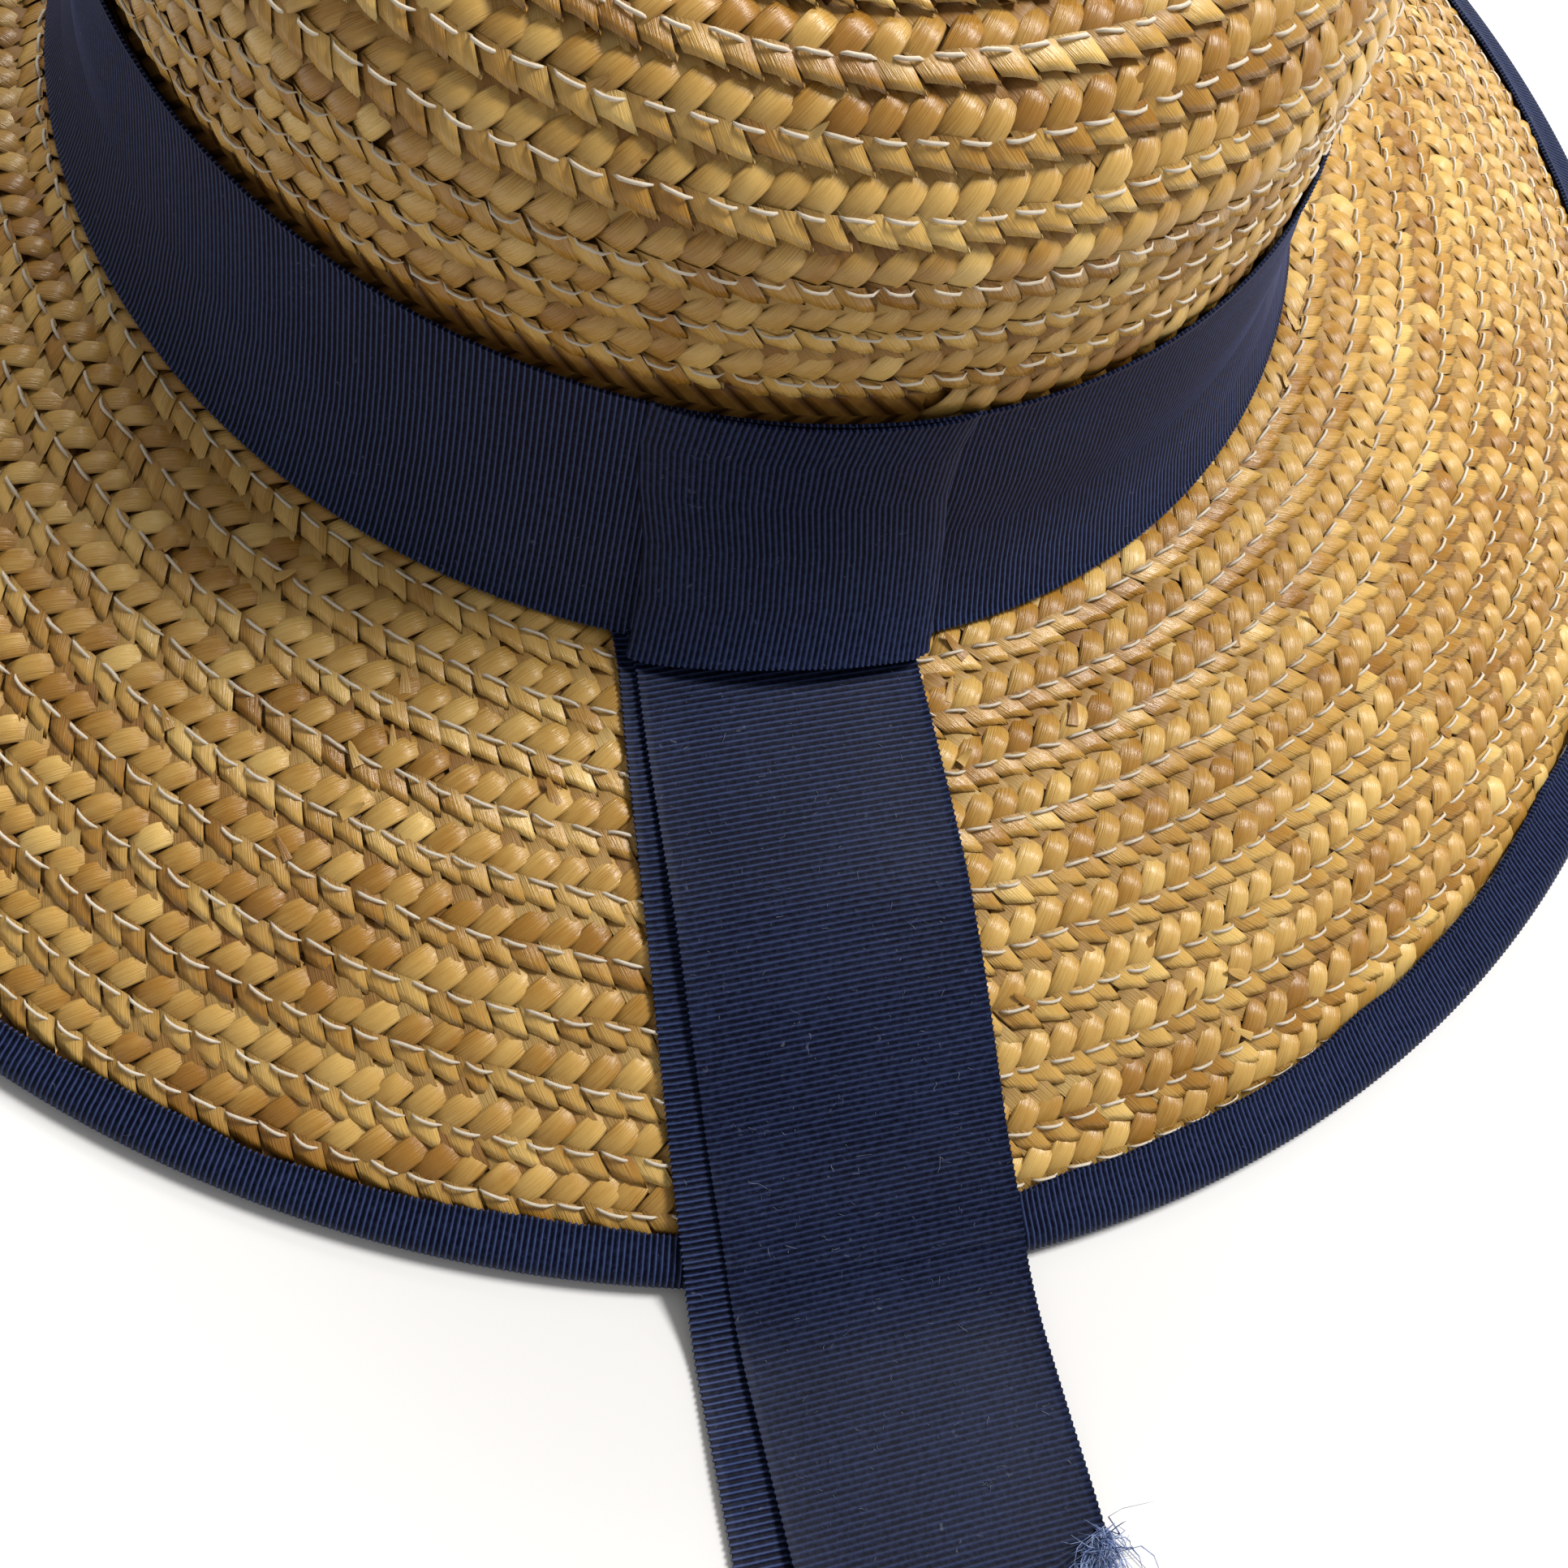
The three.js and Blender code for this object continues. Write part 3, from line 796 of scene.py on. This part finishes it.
def ribbon_finish(name, groove_shade_navy, crest_highlight_navy):
    finish, shader, start = start_finish(name, 0.5, 0.09)
    shader.inputs["Sheen Weight"].default_value = 0.02
    shader.inputs["Sheen Roughness"].default_value = 0.4
    ridge = start.out("ShaderNodeAttribute", {"attribute_name": "ridge"}, output=2)
    body = start.out("ShaderNodeTexCoord", None, output=3)
    weave = start.out("ShaderNodeTexNoise", None, Vector=body, Scale=1500.0, Detail=2.0)
    wear = start.out("ShaderNodeTexNoise", None, Vector=body, Scale=45.0, Detail=4.0)
    lint = start.out("ShaderNodeTexNoise", None, Vector=body, Scale=420.0, Detail=5.0, Distortion=2.0)
    # Painted light: rib crests are painted towards the pale colour as highlight and grooves towards the
    # dark navy as shade; weave and wear add real tone.
    crest_light_and_wear = (ridge * ridge * ridge + weave * 0.36 + wear * 0.14 - 0.24).ramp(0.0, 1.0)
    cloth = crest_light_and_wear.mix(groove_shade_navy, crest_highlight_navy)
    speck = lint.ramp(0.68, 0.76, 0.0, 0.3)
    plug(finish, speck.mix(cloth, colour(120, 126, 150)), shader.inputs["Base Color"])
    relief = start.out("ShaderNodeBump", None, Strength=0.4, Distance=0.00008, Height=weave)
    plug(finish, relief, shader.inputs["Normal"])
    return finish


# Dark navy for the grooves as painted shade, and a paler blue-grey for the crests as painted highlight.
navy_ribbon = ribbon_finish("navy_ribbon", colour(2, 5, 26), colour(70, 86, 134))


def rib_lift(length):
    """Share of a rib's height at a distance along the ribbon: a narrow crest with a groove after it"""
    phase = np.mod(length / RIB + 1e-4, 1)
    return np.interp(phase, [0, 0.333, 0.667, 1], [0, 0.4, 1, 0])


def row_place(share):
    """Distance from the ribbon's middle for a share of its rows"""
    return np.interp(share * RIBBON_ROWS, range(len(edge_rows)), edge_rows)


def edge_share(across):
    """How close a point lies to either edge of the ribbon, 1 at the edge and 0 inside 1 mm"""
    return np.clip(1 - (edge_rows[-1] - np.abs(across)) / 1.0, 0, 1)


def set_ridges(piece, ridge):
    """Stores the rib height for the finish, which paints the crests lighter and the grooves darker, before
    the grid is thickened
    """
    store = piece.data.attributes.new("ridge", "FLOAT", "POINT")
    store.data.foreach_set("value", ridge)


def set_ridges_round(piece, ribs, steps):
    """The same for a ribbon whose ribs follow one another along the grid's first side"""
    column = np.mod(np.arange(len(piece.data.vertices)), ribs * steps + 1)
    set_ridges(piece, rib_lift(column * RIB / steps))


def finish_ribbon(piece):
    close_seam(piece)
    give_wall(piece, RIBBON_WALL)
    piece.data.materials.append(navy_ribbon)
    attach(piece, "root")


# Band
# The ribbon goes once round the foot of the crown and flares with it on to the brim.
# It isn't glued, so a soft crease runs along it and it stands a little off the straw in places.

BAND_STAND = 0.85


def girth(out):
    """Length once round the head oval at a distance out"""
    return 2 * math.pi * math.sqrt(((HEAD_HALF_WIDTH + out) ** 2 + (HEAD_HALF_LENGTH + out) ** 2) / 2)


band_length = girth(2)
band_ribs = round(band_length / RIB)


def band_place(u, v):
    """u runs round the crown and v up; the crease and the hollow under it come and go"""
    across = row_place(v)
    share = across / RIBBON_WIDTH + 0.5
    ridge = rib_lift(u * band_ribs * RIB)
    turn = 2 * np.pi * u
    wander = 0.5 + 0.5 * np.sin(turn * 2 + 0.6) * np.sin(turn + 2.2)
    crease = np.exp(-(((share - 0.56 - 0.05 * np.sin(turn * 3)) / 0.07) ** 2)) * (0.35 + 0.45 * wander)
    hollow = np.exp(-(((share - 0.38) / 0.12) ** 2)) * 0.35 * wander
    flare = FOOT_FLARE * np.interp(share, foot_up, foot_out)
    edge = edge_share(across)
    lift = BAND_STAND + RIB_HEIGHT * ridge + crease - hollow + EDGE_CORD * edge
    height = BAND_FOOT + share * BAND_RISE + 0.3 * edge * (ridge - 0.5) * np.sign(across)
    return on_oval(turn, flare + lift, height, 1, 0, 0)


hat_band_cloth = lay_grid("hat_band_cloth", band_ribs * RIB_STEPS, RIBBON_ROWS, band_place)
set_ridges_round(hat_band_cloth, band_ribs, RIB_STEPS)
finish_ribbon(hat_band_cloth)
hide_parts("hat_band")


# Binding
# A ribbon folded over the cut edge of the brim and sewn through, its ribs pointing outwards.
# Its upper edge follows the straw, and its flat under side is what the hat lies on.

binding_length = girth(RIM_OUT)
binding_ribs = round(binding_length / RIB)


def brim_top_at(out):
    return np.interp(out, brim_out, brim_height)


BINDING_ROWS = 10
BINDING_STAND = 0.75
UNDER_REACH = 8.6
TURNED_UP = 6

# The rows from the under side round the rim: inset from the rim, height and outward direction
under_inset = [UNDER_REACH, 3, 0.2, -0.9, -1.25, -0.8, 0.4]
under_height = [
    brim_top_at(RIM_OUT - UNDER_REACH) - 3.2, 0.12, 0.1, 0.75, 1.9, 2.9, brim_top_at(RIM_OUT - 0.4) + 0.6,
]
under_lean_out = [-0.5, -0.3, 0.1, 0.8, 1, 0.75, 0.5]
under_lean_up = [-0.86, -0.95, -1, -0.6, 0, 0.66, 0.86]


def binding_place(u, v):
    """u runs round the rim; v runs from the under side round the rim and in over the straw"""
    row = v * BINDING_ROWS
    under_row = range(TURNED_UP + 1)
    turn = 2 * np.pi * u
    ridge = rib_lift(u * binding_ribs * RIB)
    wander = 0.45 * smooth_noise(u * binding_length, 5, 47)
    cover = binding_cover(turn) + wander - 0.4
    over = 0.4 + cover * np.interp(row, [6, 7, 8, 9, 10], [0, 0.45, 0.86, 0.94, 1])
    below = row <= TURNED_UP
    last = np.clip(row - BINDING_ROWS + 1, 0, 1)
    inset = np.where(below, np.interp(row, under_row, under_inset), over + 0.3 * last * ridge)
    stand = np.interp(row, [6, 8, 9, 10], [0.6, 0.6, 0.85, 0.3])
    out = RIM_OUT - inset
    height = np.where(below, np.interp(row, under_row, under_height), brim_top_at(out) + stand)
    lean_out = np.interp(row, under_row, under_lean_out)
    lean_up = np.interp(row, under_row, under_lean_up)
    lift = RIB_HEIGHT * ridge * np.clip(row / 2, 0, 1)
    return on_oval(turn, out, height, lean_out, lean_up, lift)


brim_binding_cloth = lay_grid("brim_binding_cloth", binding_ribs * RIB_STEPS, BINDING_ROWS, binding_place)
set_ridges_round(brim_binding_cloth, binding_ribs, RIB_STEPS)
finish_ribbon(brim_binding_cloth)
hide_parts("brim_binding")


# Tails
# Two lengths of the same ribbon lie over the brim, the front one on the back one, and out past the rim.
# Their ends are cut on a slant, and the front one has begun to fray at its corner.

knot_low, knot_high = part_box("knot_cover")
KNOT_TURN = math.radians(-9.3)
KNOT_STAND = 1.5
TAIL_ROOT = 6
TAIL_FALL = 13
FRONT_TAIL = {"length": 134, "slant": 40, "shift": 0, "turn": 10.3, "lift": 1.35, "seed": 41}
BACK_TAIL = {"length": 155, "slant": -40, "shift": 2, "turn": 7.8, "lift": 0.55, "seed": 31}
knot_a = HEAD_HALF_WIDTH + FOOT_FLARE + KNOT_STAND
knot_b = HEAD_HALF_LENGTH + FOOT_FLARE + KNOT_STAND
knot_place = np.array([knot_a * math.sin(KNOT_TURN), -knot_b * math.cos(KNOT_TURN)])
knot_along = np.array([knot_a * math.cos(KNOT_TURN), knot_b * math.sin(KNOT_TURN)])
knot_along /= np.linalg.norm(knot_along)


def distance_out(x, y):
    """How far out from the head oval a point seen from above lies"""
    low = np.zeros_like(x)
    high = np.full_like(x, 600)
    halvings = 34
    for _ in range(halvings):
        out = (low + high) / 2
        reach = (x / (HEAD_HALF_WIDTH + out)) ** 2 + (y / (HEAD_HALF_LENGTH + out)) ** 2
        low = np.where(reach > 1, out, low)
        high = np.where(reach > 1, high, out)
    return low


def lying_height(x, y):
    """Height of the straw or binding under a tail, then of the table past the rim"""
    out = distance_out(x, y)
    rise = np.clip((out - RIM_OUT + 15) / 10, 0, 1)
    bound = BINDING_STAND * rise * rise * (3 - 2 * rise)
    on_straw = brim_top_at(np.minimum(out, RIM_OUT)) + bound
    rim = RIM_TOP + BINDING_STAND
    slope = (brim_top_at(RIM_OUT - 10) - RIM_TOP) / 10
    lead = min(slope * TAIL_FALL, 2 * rim)
    t = np.clip((out - RIM_OUT) / TAIL_FALL, 0, 1)
    falling = rim * (1 - 3 * t ** 2 + 2 * t ** 3) - lead * t * (1 - t) ** 2
    return np.where(out <= RIM_OUT, on_straw, falling)


def tail_layer(length, slant, shift, turn, lift, seed):
    """A tail's grid: straight from above, following what it lies on, cut on a slant"""
    c, s = math.cos(math.radians(turn)), math.sin(math.radians(turn))
    across_way = np.array([c * knot_along[0] - s * knot_along[1], s * knot_along[0] + c * knot_along[1]])
    away = np.array([across_way[1], -across_way[0]])
    start = knot_place - knot_along * shift
    longest = length + abs(slant) / 2
    stride = 0.5
    reach = np.arange(-8, longest + 20, stride)
    strips = 8
    sides = np.linspace(-RIBBON_WIDTH / 2, RIBBON_WIDTH / 2, strips + 1)
    walked = []
    for side in sides:
        x = start[0] + across_way[0] * side + away[0] * reach
        y = start[1] + across_way[1] * side + away[1] * reach
        climb = np.diff(lying_height(x, y))
        path = np.concatenate([[0], np.cumsum(np.hypot(stride, climb))])
        walked.append(path - np.interp(0, reach, path))

    def place(u, v):
        """u runs across the ribbon and v back from its end; near is the distance out seen from above"""
        across = row_place(u)
        length_here = (1 - v) * (longest + TAIL_ROOT) - TAIL_ROOT
        cut = length - slant * across / RIBBON_WIDTH + 0.25 * smooth_noise(across, seed, 3)
        ridge = rib_lift(length_here)
        clipped = np.minimum(length_here, cut)
        column = np.interp(across, sides, range(strips + 1))
        lower = np.minimum(column.astype(int), strips - 1)
        part = column - lower
        near = np.empty_like(clipped)
        for k in range(strips):
            here = lower == k
            low_reach = np.interp(clipped[here], walked[k], reach)
            high_reach = np.interp(clipped[here], walked[k + 1], reach)
            near[here] = low_reach * (1 - part[here]) + high_reach * part[here]
        edge = edge_share(across)
        gather = np.exp(-np.maximum(near, 0) / 24)
        wide = across * (1 - 0.05 * gather) + 1.4 * gather
        wide = wide + np.sign(across) * 0.35 * edge * (ridge - 0.5)
        x = start[0] + across_way[0] * wide + away[0] * near
        y = start[1] + across_way[1] * wide + away[1] * near
        swell = np.clip(clipped / 25, 0, 1) * (
            0.35 + 0.35 * smooth_noise(clipped, seed + 1, 70)
            + 0.12 * smooth_noise(across + clipped * 0.3, seed + 2, 26)
        )
        z = lying_height(x, y) + lift + swell + RIB_HEIGHT * ridge + EDGE_CORD * edge
        return np.stack([x, y, z], axis=-1) * MM + hat_middle

    return place


def longest_side(tail):
    """From the hidden root to the far corner of the slanted end"""
    return tail["length"] + abs(tail["slant"]) / 2 + TAIL_ROOT


def build_tail(name, node, tail):
    rows = round(longest_side(tail) / RIB * RIB_STEPS)
    piece = lay_grid(name, RIBBON_ROWS, rows, tail_layer(**tail))
    row = np.arange(len(piece.data.vertices)) // len(edge_rows)
    set_ridges(piece, rib_lift((1 - row / rows) * longest_side(tail) - TAIL_ROOT))
    finish_ribbon(piece)
    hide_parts(node)


build_tail("back_tail_cloth", "back_tail", BACK_TAIL)
build_tail("front_tail_cloth", "front_tail", FRONT_TAIL)


# Frayed end and lint
# Pale blue warp threads have come loose at the right corner of the front tail's cut end.
# Short fibres of lint lie on the front tail, and a small snag sticks up near its end.

front_place = tail_layer(**FRONT_TAIL)


def on_front_tail(across, length):
    """Points on the front tail, in metres; lengths past its cut end give the cut itself"""
    u = np.interp(across, edge_rows, range(len(edge_rows))) / RIBBON_ROWS
    return front_place(u, 1 - (length + TAIL_ROOT) / longest_side(FRONT_TAIL))


def fibre_finish(name, dark, light):
    finish, shader, start = start_finish(name, 0.6, 0.3)
    body = start.out("ShaderNodeTexCoord", None, output=3)
    tone = start.out("ShaderNodeTexNoise", None, Vector=body, Scale=700.0, Detail=2.0)
    plug(finish, tone.ramp(0.3, 0.7).mix(dark, light), shader.inputs["Base Color"])
    return finish


def build_fibres(name, roots, ways, lengths, curl, radius, finish, seed):
    """Thin three-sided fibres that leave their roots in the given ways and curl"""
    draw = np.random.default_rng(seed)
    count = len(roots)
    thinning = [1, 1, 1, 0.9, 0.7, 0.3]
    rings = len(thinning)
    sides = 3
    share = np.linspace(0, 1, rings)[None, :, None]
    bend = draw.normal(0, curl, (count, 1, 3))
    wave = draw.normal(0, curl * 0.35, (count, 1, 3))
    size = lengths[:, None, None]
    line = ways[:, None] * share + bend * share ** 2 + wave * np.sin(share * 7)
    line = roots[:, None] + size * line * MM
    line[:, :, 2] = np.maximum(line[:, :, 2], 0.2 * MM)
    thin = radius * MM * np.array(thinning)[None, :, None, None]
    some_way = [0.31, 0.2, 0.93]
    side = np.cross(ways, some_way)
    side /= np.linalg.norm(side, axis=1)[:, None]
    other = np.cross(side, ways)
    other /= np.linalg.norm(other, axis=1)[:, None]
    ring = np.linspace(0, 2 * np.pi, sides + 1)[:-1][None, :, None]
    round_way = np.cos(ring) * side[:, None] + np.sin(ring) * other[:, None]
    points = line[:, :, None] + thin * round_way[:, None]
    corner = np.arange(rings * sides).reshape(rings, sides)
    nearer = np.roll(corner, -1, axis=1)
    walls = np.stack([corner[:-1], nearer[:-1], nearer[1:], corner[1:]], axis=-1).reshape(-1, 4)
    ends = np.array([corner[0][::-1], corner[-1]])
    step = np.arange(count)[:, None, None] * corner.size
    faces = (step + walls[None]).reshape(-1, 4).tolist() + (step + ends[None]).reshape(-1, 3).tolist()
    piece = add_strands(name, points.reshape(-1, 3), faces, finish)
    piece.data.shade_smooth()


pale_thread = fibre_finish("pale_thread", colour(62, 84, 140), colour(168, 186, 224))
grey_lint = fibre_finish("grey_lint", colour(70, 78, 104), colour(132, 138, 160))

FRAY_COUNT = 420
LINT_COUNT = 260
SNAG_COUNT = 14
SNAG_ACROSS = 6.4
SNAG_ALONG = 107
PAST_THE_CUT = FRONT_TAIL["length"] + FRONT_TAIL["slant"] / 2

fray = np.random.default_rng(71)
fray_across = 19 - 15 * fray.random(FRAY_COUNT) ** 1.8
fray_roots = on_front_tail(fray_across, np.full(FRAY_COUNT, PAST_THE_CUT))
fray_roots[:, 2] -= 0.2 * MM
fray_ways = np.stack([
    fray.normal(-0.2, 0.3, FRAY_COUNT),
    fray.normal(-0.8, 0.3, FRAY_COUNT),
    fray.normal(0.3, 0.25, FRAY_COUNT),
], axis=1)
fray_lengths = (2 + 4.5 * fray.random(FRAY_COUNT)) * np.clip((fray_across - 1) / 14, 0.25, 1)
build_fibres("frayed_end", fray_roots, fray_ways, fray_lengths, 0.45, 0.11, pale_thread, 72)

lint_across = fray.uniform(-18, 18, LINT_COUNT)
lint_roots = on_front_tail(lint_across, fray.uniform(4, 108, LINT_COUNT))
lint_roots[:, 2] += 0.1 * MM
lint_ways = np.stack([
    fray.normal(0, 1, LINT_COUNT),
    fray.normal(0, 1, LINT_COUNT),
    np.full(LINT_COUNT, 0.12),
], axis=1)
lint_lengths = 0.3 + 0.7 * fray.random(LINT_COUNT) ** 2
snag_across = fray.normal(SNAG_ACROSS, 0.15, SNAG_COUNT)
snag_roots = on_front_tail(snag_across, fray.normal(SNAG_ALONG, 0.15, SNAG_COUNT))
snag_ways = fray.normal(0, 0.8, (SNAG_COUNT, 3)) + np.array([0, 0, 0.6])
lint_roots = np.concatenate([lint_roots, snag_roots])
lint_ways = np.concatenate([lint_ways, snag_ways])
lint_lengths = np.concatenate([lint_lengths, np.full(SNAG_COUNT, 0.9)])
build_fibres("ribbon_lint", lint_roots, lint_ways, lint_lengths, 0.4, 0.035, grey_lint, 73)


# Knot cover
# A flat piece of the same ribbon covers the join of the band and holds the tails at its lower edge.
# Its ribs stand upright like the band's, and its two cut ends are folded under.

COVER_WIDTH = 41
COVER_DROP = 4
COVER_STAND = 1.9
COVER_RIB_STEPS = 4
cover_low = knot_low.z / MM + 0.3
cover_high = knot_high.z / MM
cover_speed = math.hypot(knot_a * math.cos(KNOT_TURN), knot_b * math.sin(KNOT_TURN))
cover_ribs = round(COVER_WIDTH / RIB)
cover_sag = {"share": [0, 0.2, 0.5, 0.8, 1], "drop": [2.4, 1.1, 0, 0.4, 1.1]}


def cover_place(u, v):
    """u runs round the crown and v up; the cover narrows downwards and its lower corners sag"""
    across = row_place(v)
    share = across / RIBBON_WIDTH + 0.5
    ridge = rib_lift(u * cover_ribs * RIB)
    fold = np.abs(2 * u - 1) ** 14
    edge = edge_share(across)
    form = np.interp(share, foot_up, foot_out)
    out = (FOOT_FLARE + COVER_DROP) * form + COVER_STAND + 0.16 * ridge + 0.1 * edge - 0.9 * fold
    out = out + 0.3 * np.sin(math.pi * u) + 0.25 * np.exp(-(((share - 0.5) / 0.1) ** 2))
    lean = (1.4 + 1.1 * np.sin(2 * math.pi * share)) / cover_speed
    taper = 0.93 + 0.11 * share
    turn = KNOT_TURN + (u - 0.5) * COVER_WIDTH * taper / cover_speed + lean
    height = cover_low + share * (cover_high - cover_low)
    end_drop = np.interp(u, cover_sag["share"], cover_sag["drop"])
    height = height - end_drop * (1 - share) ** 2
    height = height + 0.35 * edge * (ridge - 0.5) * np.sign(across)
    return on_oval(turn, out, height, 1, 0, 0)


knot_cover_cloth = lay_grid("knot_cover_cloth", cover_ribs * COVER_RIB_STEPS, RIBBON_ROWS, cover_place)
set_ridges_round(knot_cover_cloth, cover_ribs, COVER_RIB_STEPS)
finish_ribbon(knot_cover_cloth)
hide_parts("knot_cover")
